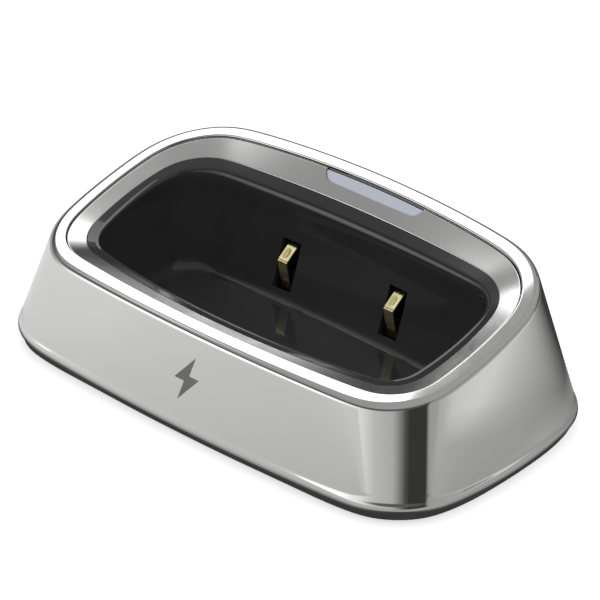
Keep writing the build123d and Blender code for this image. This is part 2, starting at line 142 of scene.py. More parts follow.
# ------------------------------------------------------------------ ring-shaped meshes with exact normals
class Profile:
    """Rows of points round the outline, each with the profile direction coming in and going out."""

    def __init__(self):
        self.rows, self.tin, self.tout = [], [], []

    def add(self, P, tin, tout=None):
        self.rows.append(np.array(P, float))
        self.tin.append(unit(np.array(tin, float)))
        self.tout.append(unit(np.array(tin if tout is None else tout, float)))

    def start(self, P):
        self.add(P, np.ones_like(P))
        self.fresh = True
        return self

    def line(self, Q, n=1):
        P = self.rows[-1].copy()
        t = unit(Q - P)
        self.tout[-1] = t
        if self.fresh:
            self.tin[-1] = t
            self.fresh = False
        for k in range(1, n + 1):
            self.add(P + (Q - P) * (k / n), t)
        return self

    def curve(self, pts_fn, n, t_last=1.0):
        """pts_fn(s) for s in 0..1 starting at the present row."""
        e = 1e-3
        t0 = unit(pts_fn(e) - pts_fn(0.0))
        self.tout[-1] = t0
        if self.fresh:
            self.tin[-1] = t0
            self.fresh = False
        for k in range(1, n + 1):
            s = k / n
            t = unit(pts_fn(min(s + e, 1.0)) - pts_fn(s - e))
            self.add(pts_fn(s), t)
        return self

    def corner(self, K, Q, d, n=6):
        """Goes towards corner K, rounds it over distance d, and leaves towards Q. Ends where the rounding ends."""
        P = self.rows[-1].copy()
        a, b = unit(K - P), unit(Q - K)
        dd = np.minimum(d, 0.49 * np.minimum(np.linalg.norm(K - P, axis=1), np.linalg.norm(Q - K, axis=1)) * 2)[:, None] \
            if np.isscalar(d) else d[:, None]
        A, B = K - a * dd, K + b * dd
        self.line(A)
        f = lambda s: (1 - s) ** 2 * A + 2 * s * (1 - s) * K + s * s * B
        self.curve(f, n)
        return self


def build(name, prof, closed=False, cap_start=False, cap_end=False, flip=False):
    rows = np.array(prof.rows)
    R, N = rows.shape[0], rows.shape[1]
    tang = np.roll(rows, -1, axis=1) - np.roll(rows, 1, axis=1)
    tang /= np.maximum(np.linalg.norm(tang, axis=2), 1e-12)[..., None]
    nin = np.cross(tang, np.array(prof.tin))
    nout = np.cross(tang, np.array(prof.tout))
    if flip:
        nin, nout = -nin, -nout
    nin /= np.maximum(np.linalg.norm(nin, axis=2), 1e-12)[..., None]
    nout /= np.maximum(np.linalg.norm(nout, axis=2), 1e-12)[..., None]
    verts = (rows.reshape(-1, 3) * MM).tolist()
    faces, norms = [], []
    last = R if closed else R - 1
    idx = lambda r, i: (r % R) * N + i % N
    for r in range(last):
        r2 = (r + 1) % R
        for i in range(N):
            j = (i + 1) % N
            q = [idx(r, i), idx(r, j), idx(r2, j), idx(r2, i)]
            m = [nout[r, i], nout[r, j], nin[r2, j], nin[r2, i]]
            if flip:
                q.reverse()
                m.reverse()
            faces.append(q)
            norms.extend(m)
    for which, r, nn in (("s", 0, nout), ("e", R - 1, nin)):
        if (which == "s" and cap_start) or (which == "e" and cap_end):
            c = len(verts)
            verts.append((rows[r].mean(0) * MM).tolist())
            up = nn[r].mean(0)
            up /= np.linalg.norm(up)
            for i in range(N):
                j = (i + 1) % N
                q = [idx(r, j), idx(r, i), c] if which == "s" else [idx(r, i), idx(r, j), c]
                m = [nn[r, j], nn[r, i], up] if which == "s" else [nn[r, i], nn[r, j], up]
                if flip:
                    q.reverse()
                    m.reverse()
                faces.append(q)
                norms.extend(m)
    me = bpy.data.meshes.new(name)
    me.from_pydata(verts, [], faces)
    me.update()
    me.polygons.foreach_set("use_smooth", [True] * len(me.polygons))
    me.normals_split_custom_set([tuple(v) for v in np.array(norms)])
    ob = bpy.data.objects.new(name, me)
    bpy.context.scene.collection.objects.link(ob)
    return ob


def simple(name, verts, faces, smooth=False):
    me = bpy.data.meshes.new(name)
    me.from_pydata([tuple(np.array(v) * MM) for v in verts], [], faces)
    me.update()
    if smooth:
        me.polygons.foreach_set("use_smooth", [True] * len(me.polygons))
    ob = bpy.data.objects.new(name, me)
    bpy.context.scene.collection.objects.link(ob)
    return ob


def prism_mesh(name, poly, axis, lo, hi):
    """Polygon (two coordinates) swept along an axis: 'x' (y,z), 'y' (x,z) or 'z' (x,y)."""
    def put(p, h):
        return {"x": (h, p[0], p[1]), "y": (p[0], h, p[1]), "z": (p[0], p[1], h)}[axis]
    n = len(poly)
    v = [put(p, lo) for p in poly] + [put(p, hi) for p in poly]
    f = [list(range(n))[::-1], [n + i for i in range(n)]]
    f += [[i, (i + 1) % n, n + (i + 1) % n, n + i] for i in range(n)]
    ob = simple(name, v, f)
    import bmesh
    bm = bmesh.new()
    bm.from_mesh(ob.data)
    bmesh.ops.recalc_face_normals(bm, faces=bm.faces)
    bm.to_mesh(ob.data)
    bm.free()
    return ob


def rounded_poly(pts, r, n=5):
    out = []
    m = len(pts)
    for i in range(m):
        p, k, q = np.array(pts[i - 1], float), np.array(pts[i], float), np.array(pts[(i + 1) % m], float)
        a, b = (p - k), (q - k)
        la, lb = np.linalg.norm(a), np.linalg.norm(b)
        d = min(r, 0.45 * la, 0.45 * lb)
        A, B = k + a / la * d, k + b / lb * d
        for s in np.linspace(0, 1, n):
            out.append(tuple((1 - s) ** 2 * A + 2 * s * (1 - s) * k + s * s * B))
    return out


def cut(ob, cutters, rim_material=None):
    """Cuts the shapes out of ob and gives the kept skin its old normals back."""
    src = ob.data.copy()
    corner = np.zeros(len(src.loops) * 3, np.float32)
    src.corner_normals.foreach_get("vector", corner)
    corner = corner.reshape(-1, 3)
    vco = [v.co.copy() for v in src.vertices]
    polys = [list(p.vertices) for p in src.polygons]
    starts = [p.loop_start for p in src.polygons]
    tree = BVHTree.FromPolygons(vco, polys)
    for c in cutters:
        md = ob.modifiers.new("cut", "BOOLEAN")
        md.operation = "DIFFERENCE"
        md.solver = "EXACT"
        md.object = c
    dg = bpy.context.evaluated_depsgraph_get()
    me = bpy.data.meshes.new_from_object(ob.evaluated_get(dg))
    ob.modifiers.clear()
    ob.data = me
    for c in cutters:
        bpy.data.objects.remove(c)
    out = np.zeros((len(me.loops), 3))
    for p in me.polygons:
        fn = p.normal
        hit = tree.find_nearest(p.center)
        on_skin = hit[0] is not None and (hit[0] - p.center).length < 2e-5 and hit[1].dot(fn) > 0.7
        for li in p.loop_indices:
            n = fn
            if on_skin:
                co = me.vertices[me.loops[li].vertex_index].co
                loc, nr, fi, dist = tree.find_nearest(co * 0.98 + p.center * 0.02)
                vs = polys[fi]
                w = np.array([1.0 / ((vco[v] - co).length + 1e-7) ** 2 for v in vs])
                acc = (corner[starts[fi]:starts[fi] + len(vs)] * w[:, None]).sum(0)
                if Vector(acc).normalized().dot(fn) > 0.5:
                    n = Vector(acc).normalized()
            out[li] = n
        p.use_smooth = True
    me.normals_split_custom_set([tuple(v) for v in out])
    bpy.data.meshes.remove(src)
    return ob


# ------------------------------------------------------------------ materials
def new_mat(name):
    m = bpy.data.materials.new(name)
    m.use_nodes = True
    nt = m.node_tree
    for n in list(nt.nodes):
        nt.nodes.remove(n)
    out = nt.nodes.new("ShaderNodeOutputMaterial")
    bs = nt.nodes.new("ShaderNodeBsdfPrincipled")
    nt.links.new(bs.outputs[0], out.inputs[0])
    co = nt.nodes.new("ShaderNodeTexCoord")
    return m, nt, bs, co


def noise(nt, co, scale, detail=4.0, rough=0.5, stretch=None, dist=0.0):
    mp = nt.nodes.new("ShaderNodeMapping")
    nt.links.new(co.outputs["Object"], mp.inputs[0])
    mp.inputs["Scale"].default_value = stretch or (1, 1, 1)
    n = nt.nodes.new("ShaderNodeTexNoise")
    n.inputs["Scale"].default_value = scale
    n.inputs["Detail"].default_value = detail
    n.inputs["Roughness"].default_value = rough
    n.inputs["Distortion"].default_value = dist
    nt.links.new(mp.outputs[0], n.inputs["Vector"])
    return n.outputs["Fac"] if "Fac" in n.outputs else n.outputs[0]


def ramp(nt, src, stops):
    r = nt.nodes.new("ShaderNodeValToRGB")
    el = r.color_ramp.elements
    while len(el) < len(stops):
        el.new(0.5)
    for e, (p, c) in zip(el, stops):
        e.position = p
        e.color = (c[0], c[1], c[2], 1.0) if not np.isscalar(c) else (c, c, c, 1.0)
    nt.links.new(src, r.inputs[0])
    return r.outputs[0]


def rng(nt, src, a, b, lo=0.0, hi=1.0):
    m = nt.nodes.new("ShaderNodeMapRange")
    m.inputs[1].default_value, m.inputs[2].default_value = lo, hi
    m.inputs[3].default_value, m.inputs[4].default_value = a, b
    nt.links.new(src, m.inputs[0])
    return m.outputs[0]


def mix(nt, fac, a, b):
    m = nt.nodes.new("ShaderNodeMix")
    m.data_type = "RGBA"
    if np.isscalar(fac):
        m.inputs[0].default_value = fac
    else:
        nt.links.new(fac, m.inputs[0])
    for s, v in ((6, a), (7, b)):
        if isinstance(v, tuple):
            m.inputs[s].default_value = (*v, 1.0)
        else:
            nt.links.new(v, m.inputs[s])
    return m.outputs[2]


def bump(nt, src, strength, dist, bs):
    b = nt.nodes.new("ShaderNodeBump")
    b.inputs["Strength"].default_value = strength
    b.inputs["Distance"].default_value = dist
    nt.links.new(src, b.inputs["Height"])
    nt.links.new(b.outputs[0], bs.inputs["Normal"])


def plated(name, tone, r0, r1, haze=0.0):
    """Bright plating: faint moulding waviness, handling haze, tiny dust."""
    m, nt, bs, co = new_mat(name)
    big = noise(nt, co, 38, 3, 0.55)
    fine = noise(nt, co, 900, 3, 0.6)
    smear = noise(nt, co, 130, 5, 0.65, (1.0, 0.45, 2.2), 0.6)
    nt.links.new(mix(nt, rng(nt, big, 0, 1, 0.3, 0.7), tuple(c * 0.97 for c in tone), tone), bs.inputs["Base Color"])
    bs.inputs["Metallic"].default_value = 1.0
    a = nt.nodes.new("ShaderNodeMath")
    a.operation = "MULTIPLY_ADD"
    nt.links.new(rng(nt, smear, 0.0, 1.0, 0.42, 0.75), a.inputs[0])
    a.inputs[1].default_value = r1 - r0
    nt.links.new(rng(nt, fine, r0 * 0.85, r0 * 1.15), a.inputs[2])
    nt.links.new(a.outputs[0], bs.inputs["Roughness"])
    bump(nt, big, 0.05, 0.00005, bs)
    return m


def plastic(name, c0, c1, r0, r1, grain=0.0, grain_scale=2600.0, ior=1.46, coat=0.0, mottling=60.0, spec=0.5):
    m, nt, bs, co = new_mat(name)
    big = noise(nt, co, mottling, 4, 0.6)
    fine = noise(nt, co, grain_scale, 2, 0.6)
    nt.links.new(mix(nt, rng(nt, big, 0, 1, 0.3, 0.7), c0, c1), bs.inputs["Base Color"])
    nt.links.new(rng(nt, noise(nt, co, mottling * 3.1, 5, 0.6, (1, .6, 1.7), 0.4), r0, r1, 0.35, 0.7), bs.inputs["Roughness"])
    bs.inputs["IOR"].default_value = ior
    bs.inputs["Specular IOR Level"].default_value = spec
    if coat:
        bs.inputs["Coat Weight"].default_value = coat
        bs.inputs["Coat Roughness"].default_value = 0.05
    if grain:
        bump(nt, fine, grain, 0.00002, bs)
    return m


def metal(name, c0, c1, r0, r1, brush=0.0, scale=800.0, stretch=(1, 1, 1)):
    m, nt, bs, co = new_mat(name)
    big = noise(nt, co, 240, 4, 0.6)
    f = noise(nt, co, scale, 3, 0.6, stretch)
    nt.links.new(mix(nt, rng(nt, big, 0, 1, 0.3, 0.7), c0, c1), bs.inputs["Base Color"])
    bs.inputs["Metallic"].default_value = 1.0
    nt.links.new(rng(nt, f, r0, r1, 0.3, 0.7), bs.inputs["Roughness"])
    if brush:
        bump(nt, f, brush, 0.00002, bs)
    return m


M = {}
M["chrome_plate"] = plated("chrome_plate", (0.70, 0.705, 0.695), 0.045, 0.085)
M["bezel_plate"] = plated("bezel_plate", (0.66, 0.665, 0.655), 0.15, 0.21)
M["gloss_black"] = plastic("gloss_black", (0.026, 0.026, 0.0265), (0.031, 0.031, 0.0315), 0.04, 0.08, 0.0, ior=1.52, coat=0.0)
M["slot_black"] = plastic("slot_black", (0.006, 0.006, 0.006), (0.010, 0.010, 0.010), 0.35, 0.5, 0.2)
M["window_diffuser"] = plastic("window_diffuser", (0.50, 0.53, 0.60), (0.54, 0.57, 0.64), 0.16, 0.26, 0.05, ior=1.49, mottling=90)
M["mark_ink"] = plastic("mark_ink", (0.10, 0.10, 0.098), (0.13, 0.13, 0.127), 0.30, 0.42, 0.15)
M["gold_plate"] = metal("gold_plate", (0.98, 0.88, 0.50), (0.95, 0.80, 0.40), 0.16, 0.30, 0.12, 900, (6, 1, 1))
M["black_nylon"] = plastic("black_nylon", (0.018, 0.018, 0.019), (0.03, 0.03, 0.031), 0.4, 0.6, 0.3)
M["zinc_steel"] = metal("zinc_steel", (0.56, 0.57, 0.60), (0.66, 0.66, 0.67), 0.22, 0.42, 0.1, 700, (1, 8, 1))
M["tinned_copper"] = metal("tinned_copper", (0.66, 0.65, 0.62), (0.74, 0.73, 0.70), 0.25, 0.4, 0.1)
M["circuit_board"] = plastic("circuit_board", (0.012, 0.12, 0.045), (0.02, 0.16, 0.06), 0.22, 0.36, 0.15, 1500)
M["chip_epoxy"] = plastic("chip_epoxy", (0.02, 0.02, 0.021), (0.035, 0.035, 0.036), 0.4, 0.55, 0.3)
M["ferrite"] = plastic("ferrite", (0.045, 0.045, 0.05), (0.07, 0.07, 0.075), 0.5, 0.7, 0.4)
M["capacitor_can"] = metal("capacitor_can", (0.70, 0.70, 0.71), (0.78, 0.78, 0.79), 0.2, 0.35, 0.08, 600, (1, 1, 9))
M["tin_steel"] = metal("tin_steel", (0.60, 0.60, 0.61), (0.72, 0.72, 0.72), 0.2, 0.36, 0.1, 900, (1, 7, 1))
M["clear_acrylic"] = plastic("clear_acrylic", (0.72, 0.75, 0.78), (0.78, 0.80, 0.82), 0.1, 0.2, 0.0)
M["clear_acrylic"].node_tree.nodes["Principled BSDF"].inputs["Transmission Weight"].default_value = 0.9
M["lamp_lens"] = plastic("lamp_lens", (0.72, 0.72, 0.62), (0.80, 0.80, 0.72), 0.15, 0.25, 0.0)
M["black_foam"] = plastic("black_foam", (0.012, 0.012, 0.012), (0.03, 0.03, 0.03), 0.8, 0.95, 0.9, 1800)
M["base_abs"] = plastic("base_abs", (0.030, 0.030, 0.028), (0.044, 0.043, 0.040), 0.34, 0.48, 0.35, 2400)
M["pad_rubber"] = plastic("pad_rubber", (0.028, 0.028, 0.028), (0.045, 0.045, 0.044), 0.7, 0.9, 0.7, 1500)
M["label_film"] = plastic("label_film", (0.50, 0.51, 0.52), (0.56, 0.57, 0.58), 0.35, 0.5, 0.1)
M["black_screw"] = metal("black_screw", (0.05, 0.05, 0.055), (0.10, 0.10, 0.105), 0.3, 0.5, 0.2)
M["tape_film"] = plastic("tape_film", (0.62, 0.60, 0.55), (0.70, 0.68, 0.63), 0.5, 0.65, 0.1)

slot_of = {s["node"]: s["material_slot"] for s in frame["record"]["subparts"]}
for node, ob in frame["nodes"].items():
    ob.data.materials.clear()
    ob.data.materials.append(M[slot_of[node]])

# ------------------------------------------------------------------ shell
A2 = shifted(outline(**RING), TOP_SHIFT)
A = with_z(A2, top_z(A2))
B2 = shifted(outline(**OPEN), TOP_SHIFT)
B = with_z(B2, top_z(B2))
C2 = outline(**BASE)


def wall_pt(z, ze, inset=0.0):
    c = outline(**grown(BASE, -inset)) if inset else C2
    a = shifted(outline(**grown(RING, -inset)), TOP_SHIFT) if inset else A2
    s = (ze - FOOT) / (A[:, 2] - FOOT)
    p = c + (a - c) * s[:, None]
    return with_z(p, z)


def foot_curve(s):
    z = 1.75 + (4.6 - 1.75) * s
    ks = np.array([1.75, 1.95, 2.30, 2.80, 3.60, 4.60])
    kz = np.array([2.55, 2.02, 1.75, 2.02, 3.19, 4.25])
    # smooth monotone-ish interpolation
    i = min(max(int(np.searchsorted(ks, z) - 1), 0), len(ks) - 2)
    h = ks[i + 1] - ks[i]
    m = np.gradient(kz, ks)
    m[-1] = 1.0146
    t = (z - ks[i]) / h
    ze = (2 * t ** 3 - 3 * t ** 2 + 1) * kz[i] + (t ** 3 - 2 * t ** 2 + t) * h * m[i] \
        + (-2 * t ** 3 + 3 * t ** 2) * kz[i + 1] + (t ** 3 - t ** 2) * h * m[i + 1]
    return wall_pt(z, ze)


inner_foot = with_z(outline(**grown(BASE, -WALL)), FOOT)
p = Profile().start(inner_foot)
first = foot_curve(0.0)
p.line(first, 1)
p.curve(foot_curve, 16)
# wall line aims at the ring edge A
p.corner(A, B, 0.95, 10)
down = B - [0, 0, 2.35]
p.corner(B, down, 0.26, 6)
p.line(down, 2)
shelf2 = shifted(outline(**grown(OPEN, -1.5)), TOP_SHIFT)
shelf = with_z(shelf2, top_z(shelf2) - 2.40)
p.line(shelf, 1)
under = with_z(shelf2, top_z(shelf2) - 3.6)
p.line(under, 1)
ci, ai = outline(**grown(BASE, -WALL)), shifted(outline(**grown(RING, -WALL)), TOP_SHIFT)
zt = top_z(ai) - 3.6
s = (zt - FOOT) / (A[:, 2] - FOOT)
inner_top = with_z(ci + (ai - ci) * s[:, None], zt)
p.line(inner_top, 1)
p.line(inner_foot + [0, 0, 0.001], 2)
p.rows.pop(); p.tin.pop(); p.tout.pop()
p.tout[-1] = unit(inner_foot - p.rows[-1])
p.tin[0] = p.tout[-1]
shell = build("shell_skin", p, closed=True)
plug = rounded_poly([(-5.8, 3.0), (5.8, 3.0), (5.8, 9.4), (-5.8, 9.4)], 1.4, 6)
cutter = prism_mesh("plug_cut", plug, "y", 20.0, 31.0)
cut(shell, [cutter])
shell.data.materials.append(M["chrome_plate"])
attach(shell, "cradle")
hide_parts("outer_shell")

# ------------------------------------------------------------------ bezel
B3 = B - [0, 0, LIP_GAP]
L2 = shifted(outline(**LIP), TOP_SHIFT - 0.25)
lip_q = (L2[:, 0] / 34.4) ** 2
L3 = with_z(L2, top_z(L2) - (blend(L2[:, 1], 1.6, 3.0) * (1 - lip_q) + 1.35 * lip_q))
lip = lambda s, dz=0.0: B3 + (L3 - B3) * s + [0, 0, dz]
SEAT = 0.12 / 3.4
p = Profile().start(lip(SEAT, -BEZEL_T))
p.corner(lip(SEAT), lip(0.985), 0.22, 5)
p.corner(lip(0.985), lip(0.985, -BEZEL_T), 0.14, 4)
p.line(lip(0.985, -BEZEL_T), 1)
p.tout[-1] = unit(lip(SEAT, -BEZEL_T) - p.rows[-1])
p.tin[0] = p.tout[-1]
bezel = build("bezel_ring", p, closed=True)


WIN_X = 1.0


def window_foot(g, y_back):
    q = [(-10.0 - g, y_back), (-9.8 - g, 17.1), (-9.1 - g, 16.5 - g), (-8.2 - g, 16.2 - g),
         (8.2 + g, 16.2 - g), (9.1 + g, 16.5 - g), (9.8 + g, 17.1), (10.0 + g, y_back)]
    return [(x + WIN_X, y) for x, y in q]


cut(bezel, [prism_mesh("window_cut", window_foot(0.10, 19.5), "z", 10, 40)])
bezel.data.materials.append(M["bezel_plate"])
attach(bezel, "cradle")
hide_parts("inner_bezel")

# ------------------------------------------------------------------ pocket
fs = dict(a=FLOOR_HALF_X - 1.6, b=(FLOOR_Y1 - FLOOR_Y0) / 2, rf=5.5, rb=5.5, sf=0.5, sb=0.9, se=0.8)
F2 = shifted(outline(**fs), (FLOOR_Y0 + FLOOR_Y1) / 2)
rim_w = blend(L3[:, 1], RIM_FRONT, RIM)
head_in = moved_out(L3, -rim_w[:, None])
dxy = np.linalg.norm((L3 - B3)[:, :2], axis=1)
slope = (L3[:, 2] - B3[:, 2]) / dxy
rim_in = head_in.copy()
rim_mid = moved_out(L3, -rim_w[:, None] * 0.70)
rim_mid[:, 2] = L3[:, 2] + slope * rim_w * 0.70 * blend(L3[:, 1], 1.15, 1.0)
rim_in[:, 2] = rim_mid[:, 2] + rim_w * 0.30 * (slope * blend(L3[:, 1], -0.25, 1.0))
side = np.clip((head_in[:, 1] + 1.5) / 15.0, -1, 1)
EXPO = 2.05 - 0.45 * side
BACK = np.clip(side, 0, 1) ** 2


def bowl_at(z, foot, head, drop=0.0):
    u = np.clip((L3[:, 2] - z) / (L3[:, 2] - FLOOR_Z), 0, 1)
    g = u ** EXPO
    q = head[:, :2] + (foot - head[:, :2]) * g[:, None]
    return with_z(q, z)


z_rim = rim_in[:, 2]


def wall_curve(s):
    z = z_rim + (FLOOR_Z + 0.0 - z_rim) * s
    return bowl_at(z, F2, head_in)


yc = (FLOOR_Y0 + FLOOR_Y1) / 2


def floor_ring(f, z=FLOOR_Z):
    return with_z(np.array([0, yc]) + (F2 - [0, yc]) * f, z)


# outer skin first (bottom centre outwards), up to the rim, then down into the bowl
Fo = F2 + normals2d(F2) * TUB_WALL
p = Profile().start(with_z(np.array([0, yc]) + (Fo - [0, yc]) * 0.25, FLOOR_Z - FLOOR_T))
p.line(with_z(Fo, FLOOR_Z - FLOOR_T), 2)
p.line(with_z(Fo, FLOOR_Z), 1)
outer_curve = lambda s: bowl_at(FLOOR_Z + (L3[:, 2] - 0.02 - FLOOR_Z) * s, Fo, L3)
p.curve(outer_curve, 18)
p.corner(L3, rim_mid, 0.16, 4)
# the rim's inner edge rolls into the bowl wall, broadly at the back
S0 = blend(head_in[:, 1] - 3.0, 0.085, 0.34)
b0 = wall_curve(S0)
e = 1e-3
tb = unit(wall_curve(S0 + e) - b0)
ta = unit(rim_in - rim_mid)
A0 = rim_in - ta * (rim_w * 0.12)[:, None]
p.corner(rim_mid, A0, 0.10, 4)
p.line(A0, 1)
d = np.linalg.norm(b0 - A0, axis=1)[:, None]
c1, c2 = A0 + ta * d * 0.30, b0 - tb * d * 0.45
p.curve(lambda s: (1 - s) ** 3 * A0 + 3 * s * (1 - s) ** 2 * c1 + 3 * s * s * (1 - s) * c2 + s ** 3 * b0, 14)
S1 = 0.90
p.curve(lambda s: wall_curve(S0 + (S1 - S0) * s), 34)
w1 = wall_curve(S1)
tw = unit(wall_curve(S1 + e) - w1)
f1 = floor_ring(0.86)
tf = unit(floor_ring(0.8) - f1)
d = np.linalg.norm(f1 - w1, axis=1)[:, None]
c1, c2 = w1 + tw * d * 0.45, f1 - tf * d * 0.45
p.curve(lambda s: (1 - s) ** 3 * w1 + 3 * s * (1 - s) ** 2 * c1 + 3 * s * s * (1 - s) * c2 + s ** 3 * f1, 10)
p.line(floor_ring(0.25), 3)
tub = build("pocket_tub", p, cap_start=True, cap_end=True)
import bmesh
hoods = []
slot_poly = [(6.5, 7.05), (9.60, 7.05), (11.85, 4.85), (19.0, 4.85), (19.0, 15.1), (6.5, 15.1)]
cutters = [prism_mesh("slot_cut_%d" % k, slot_poly, "x", cx - SLOT_W / 2, cx + SLOT_W / 2) for k, cx in enumerate((-CONTACT_X, CONTACT_X))]
cut(tub, cutters)
# dark walls behind each slot, part of the same moulding
for cx in (-CONTACT_X, CONTACT_X):
    x0, x1, y0, y1, z0, z1, w = cx - SLOT_W / 2, cx + SLOT_W / 2, 12.3, 15.9, 4.85, 15.1, 0.12
    hood = [(x0, y0, z1), (x1, y0, z1), (x1, y1, z1), (x0, y1, z1), (x0, y0, z0), (x1, y0, z0), (x1, y1, z0), (x0, y1, z0)]
    grow = [(-w, 0, w), (w, 0, w), (w, w, w), (-w, w, w), (-w, 0, 0), (w, 0, 0), (w, w, 0), (-w, w, 0)]
    hv = hood + [tuple(a_ + b_ for a_, b_ in zip(p_, g_)) for p_, g_ in zip(hood, grow)]
    panels = [(0, 1, 2, 3), (2, 3, 7, 6), (0, 3, 7, 4), (1, 2, 6, 5)]
    hf = [q_ for q_ in panels] + [tuple(k_ + 8 for k_ in q_) for q_ in panels]
    hf += [(0, 1, 9, 8), (0, 4, 12, 8), (1, 5, 13, 9), (4, 7, 15, 12), (7, 6, 14, 15), (6, 5, 13, 14)]
    hb = bmesh.new()
    hm = bpy.data.meshes.new("hood")
    hm.from_pydata([tuple(c_ * MM for c_ in v_) for v_ in hv], [], hf)
    hb.from_mesh(hm)
    bmesh.ops.recalc_face_normals(hb, faces=hb.faces)
    hb.to_mesh(hm)
    hb.free()
    hoods.append(bpy.data.objects.new("hood", hm))
for h_ in hoods:
    bpy.context.scene.collection.objects.link(h_)
dg_ = bpy.context.evaluated_depsgraph_get()
tn = np.zeros(len(tub.data.loops) * 3, np.float32)
tub.data.corner_normals.foreach_get("vector", tn)
tn = tn.reshape(-1, 3).tolist()
tv = [tuple(v_.co) for v_ in tub.data.vertices]
tf_ = [list(p_.vertices) for p_ in tub.data.polygons]
for h_ in hoods:
    base_i = len(tv)
    hn = np.zeros(len(h_.data.loops) * 3, np.float32)
    h_.data.corner_normals.foreach_get("vector", hn)
    tn += hn.reshape(-1, 3).tolist()
    tv += [tuple(v_.co) for v_ in h_.data.vertices]
    tf_ += [[k_ + base_i for k_ in p_.vertices] for p_ in h_.data.polygons]
    bpy.data.objects.remove(h_)
nm = bpy.data.meshes.new("pocket_tub")
nm.from_pydata(tv, [], tf_)
nm.update()
nm.polygons.foreach_set("use_smooth", [True] * len(nm.polygons))
nm.normals_split_custom_set(tn)
tub.data = nm
tub.data.materials.append(M["gloss_black"])
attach(tub, "cradle")
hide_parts("cradle_insert")

# ------------------------------------------------------------------ status window lens
bk = np.array([i for i in range(len(B3)) if B3[i, 1] > 12 and abs(B3[i, 0]) < 20])
o = bk[np.argsort(B3[bk, 0])]
ol = bk[np.argsort(L3[bk, 0])]


def lip_z(x, y):
    yb, zb = np.interp(x, B3[o, 0], B3[o, 1]), np.interp(x, B3[o, 0], B3[o, 2])
    yl, zl = np.interp(x, L3[ol, 0], L3[ol, 1]), np.interp(x, L3[ol, 0], L3[ol, 2])
    t = (yb - y) / (yb - yl)
    return zb + (zl - zb) * t, yb


NX, NY = 60, 14
verts, faces = [], []
for sheet, dz in ((0, -0.13), (1, -1.9)):
    for i in range(NX + 1):
        u = -1 + 2 * i / NX
        for j in range(NY + 1):
            v = j / NY
            # half width narrows towards the pocket with rounded lower corners
            yb = lip_z(WIN_X + u * 9.8, 17)[1] - 0.20
            y = yb + (16.22 - yb) * v
            half = np.interp(y, [16.22, 16.26, 16.36, 16.5, 16.75, 17.1, 18.0], [8.1, 8.5, 8.85, 9.1, 9.42, 9.78, 9.98])
            x = WIN_X + u * half
            z, _ = lip_z(x, y)
            edge = min(1 - abs(u), (1 - v) * 0.25, v * 0.25)
            soft = max(0.0, 1 - edge / 0.02) ** 2 * 0.12 if sheet == 0 else 0
            verts.append((x, y, z + dz - soft))
W = (NX + 1) * (NY + 1)
id_ = lambda s, i, j: s * W + i * (NY + 1) + j
for i in range(NX):
    for j in range(NY):
        faces.append([id_(0, i, j), id_(0, i, j + 1), id_(0, i + 1, j + 1), id_(0, i + 1, j)])
        faces.append([id_(1, i, j), id_(1, i + 1, j), id_(1, i + 1, j + 1), id_(1, i, j + 1)])
for i in range(NX):
    faces.append([id_(0, i, 0), id_(0, i + 1, 0), id_(1, i + 1, 0), id_(1, i, 0)])
    faces.append([id_(0, i, NY), id_(1, i, NY), id_(1, i + 1, NY), id_(0, i + 1, NY)])
for j in range(NY):
    faces.append([id_(0, 0, j), id_(1, 0, j), id_(1, 0, j + 1), id_(0, 0, j + 1)])
    faces.append([id_(0, NX, j), id_(0, NX, j + 1), id_(1, NX, j + 1), id_(1, NX, j)])
lens = simple("window_lens", verts, faces)
import bmesh
bm = bmesh.new()
bm.from_mesh(lens.data)
bmesh.ops.recalc_face_normals(bm, faces=bm.faces)
for e_ in bm.edges:
    if len(e_.link_faces) == 2 and e_.calc_face_angle(0) > 0.9:
        e_.smooth = False
for f in bm.faces:
    f.smooth = True
bm.to_mesh(lens.data)
bm.free()
lens.data.materials.append(M["window_diffuser"])
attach(lens, "cradle")
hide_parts("status_window")

# ------------------------------------------------------------------ charging symbol, inlaid in the front wall
BOLT = [(1.25, 3.8), (-2.4, -0.5), (-0.4, -0.5), (-1.25, -3.8), (2.4, 0.5), (0.4, 0.5)]
MZ = 10.2


def front_y(x, z):
    """Front wall surface at x, z."""
    top = 17.2
    P = wall_pt(z, 4.25 + (z - 4.6) * (top - 4.25) / (top - 4.6))
    k = np.where((P[:, 1] < 0))[0]
    k = k[np.argsort(P[k, 0])]
    return float(np.interp(x, P[k, 0], P[k, 1]))


outline2 = rounded_poly(BOLT, 0.22, 4)
ring_v, n = [], len(outline2)
front_pts = [(x, front_y(x, z + MZ) - 0.035, z + MZ) for x, z in outline2]
back_pts = [(x, y + 0.30, z) for x, y, z in front_pts]
me_faces = [list(range(n)), [n + i for i in range(n)][::-1]] + [[i, n + i, n + (i + 1) % n, (i + 1) % n] for i in range(n)]
mark = simple("charge_symbol", front_pts + back_pts, me_faces)
bm = bmesh.new()
bm.from_mesh(mark.data)
bmesh.ops.triangulate(bm, faces=[f for f in bm.faces if len(f.verts) > 4])
bmesh.ops.recalc_face_normals(bm, faces=bm.faces)
bm.to_mesh(mark.data)
bm.free()
mark.data.materials.append(M["mark_ink"])
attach(mark, "cradle")
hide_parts("front_mark")

# ------------------------------------------------------------------ contact leaves
LEAF = np.array([(13.2, 5.30), (11.25, 5.30), (9.48, 12.10), (11.90, 13.90), (13.0, 14.30)])


